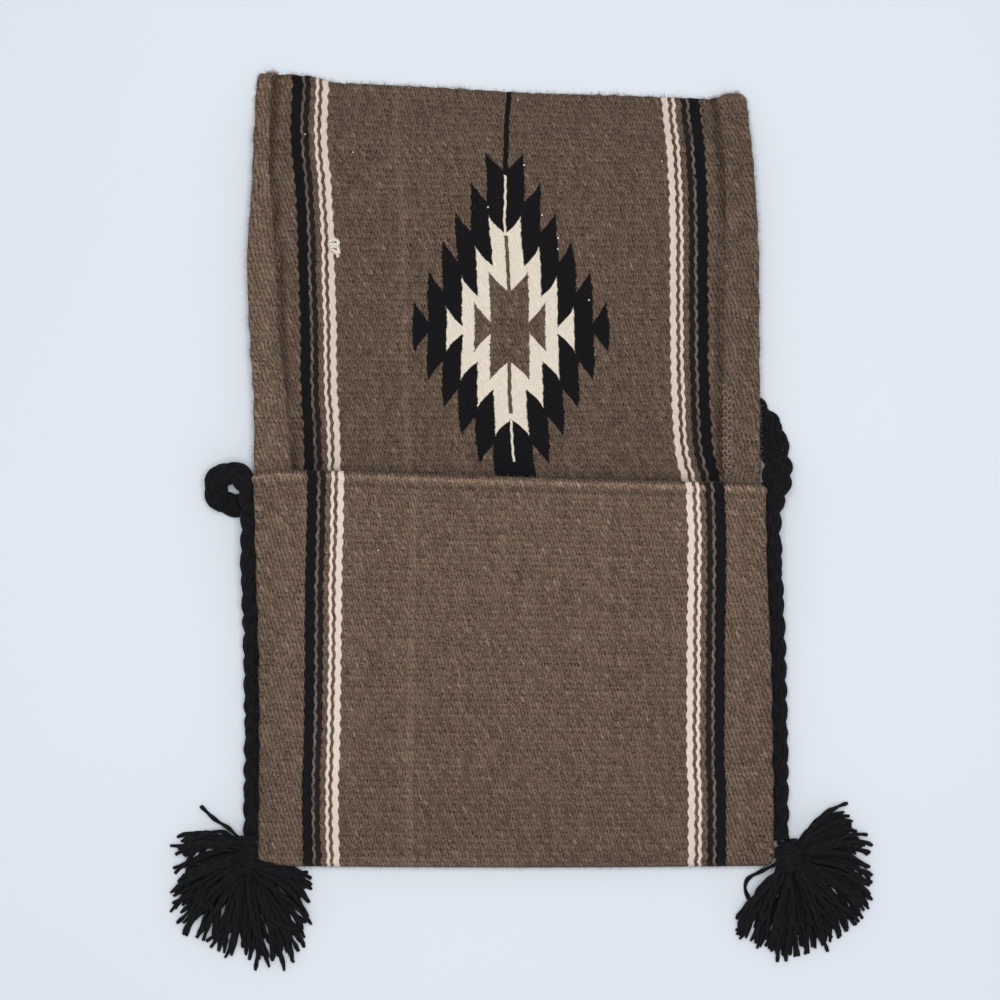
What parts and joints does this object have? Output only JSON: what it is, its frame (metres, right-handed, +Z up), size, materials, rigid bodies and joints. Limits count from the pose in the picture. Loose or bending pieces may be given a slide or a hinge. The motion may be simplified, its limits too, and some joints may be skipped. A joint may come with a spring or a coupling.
{
  "type": "woven shoulder bag",
  "caption": "Flat hand-woven wool shoulder bag with an open flap, woven side stripes and a serrated diamond, a plaited strap sewn down both sides and tassels at the bottom corners.",
  "frame": {"origin": "middle of the footprint of cloth and tassels, on the surface that the bag lies on", "axes": "+Y from the tassels to the end of the flap, +Z up out of the visible face, +X to the right of someone looking at that face"},
  "size_m": [0.3563, 0.4485, 0.0189],
  "materials": {
    "woven_wool": "weft-faced wool weave, matt, slightly hairy, brown with black and cream stripes and diamond",
    "black_wool": "soft twisted wool yarn, matt"
  },
  "bodies": {
    "root": {"bag_cloth": "woven_wool", "side_braid_left": "black_wool", "side_braid_right": "black_wool", "strap_free": "black_wool", "strap_curl": "black_wool", "tassel_knot_left": "black_wool", "tassel_knot_right": "black_wool", "tassel_skirt_left": "black_wool", "tassel_skirt_right": "black_wool"}
  },
  "joints": []
}
